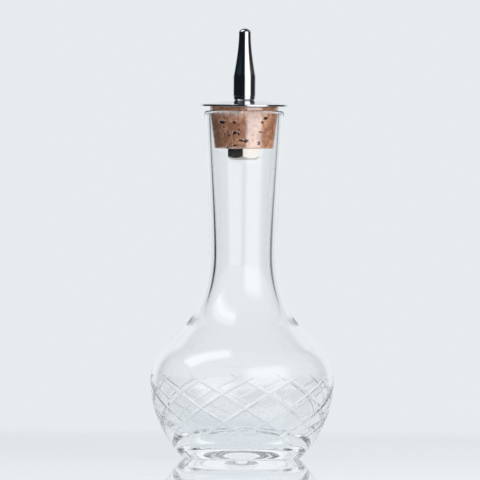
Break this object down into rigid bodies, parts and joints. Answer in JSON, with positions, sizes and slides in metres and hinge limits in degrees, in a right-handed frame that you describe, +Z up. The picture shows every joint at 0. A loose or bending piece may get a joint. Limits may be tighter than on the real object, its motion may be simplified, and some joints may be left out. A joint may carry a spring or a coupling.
{
  "type": "bitters bottle",
  "caption": "Small glass bottle with a round belly, a tall flared neck and a wheel-cut diamond lattice, closed by a cork that carries a metal dasher spout.",
  "frame": {"origin": "centre of the foot, on the surface that the bottle stands on", "axes": "+Z up along the bottle's axis, -Y towards the viewer of the picture, +X to the viewer's right"},
  "size_m": [0.0596, 0.0596, 0.14],
  "materials": {
    "clear_glass": "clear polished soda glass with polished wheel cuts",
    "natural_cork": "matte natural cork with dark pores",
    "polished_chrome": "mirror polished",
    "bolt_metal": "turned and plated"
  },
  "bodies": {
    "bottle": {"glass_bottle": "clear_glass"},
    "stopper": {"cork": "natural_cork", "hollow_bolt": "bolt_metal"},
    "flange": {"flange_disc": "polished_chrome"},
    "spout": {"dasher_spout": "polished_chrome"}
  },
  "joints": [
    {"name": "stopper_pull", "type": "slide", "parent": "bottle", "child": "stopper", "axis": [0, 0, 1], "range_m": [0, 0.03]},
    {"name": "flange_lift", "type": "slide", "parent": "stopper", "child": "flange", "axis": [0, 0, 1], "range_m": [0, 0.0056]},
    {"name": "spout_unscrew", "type": "hinge", "parent": "flange", "child": "spout", "pos_m": [0, 0, 0.12], "axis": [0, 0, 1], "range_deg": [0, 2520]}
  ],
  "couplings": [
    {"joint": "spout_unscrew", "follows": "flange_lift", "rad_per_m": 7854}
  ]
}
